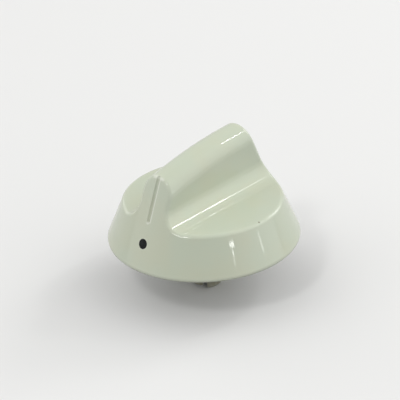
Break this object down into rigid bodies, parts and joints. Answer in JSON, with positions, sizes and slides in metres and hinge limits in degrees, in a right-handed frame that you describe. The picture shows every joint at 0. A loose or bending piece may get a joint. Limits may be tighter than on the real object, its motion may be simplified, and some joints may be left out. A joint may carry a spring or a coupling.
{
  "type": "stove knob",
  "caption": "Round push-on cooker knob with a cone skirt, a raised finger grip between two scoops, a pointer groove, an index dot and a split hub for a D-shaft.",
  "frame": {"origin": "on the shaft axis, at the open end of the hub, which is the lowest point of the part", "axes": "+Z out of the panel along the shaft axis, -Y towards the pointer, +X towards the flat of the shaft"},
  "size_m": [0.0542, 0.0542, 0.044],
  "materials": {
    "knob_plastic": "glossy off-white moulded plastic",
    "spring_steel": "plain rolled spring steel",
    "dot_ink": "black filled dot"
  },
  "bodies": {
    "root": {"knob_body": "knob_plastic", "spring_clip": "spring_steel", "index_dot": "dot_ink"}
  },
  "joints": []
}
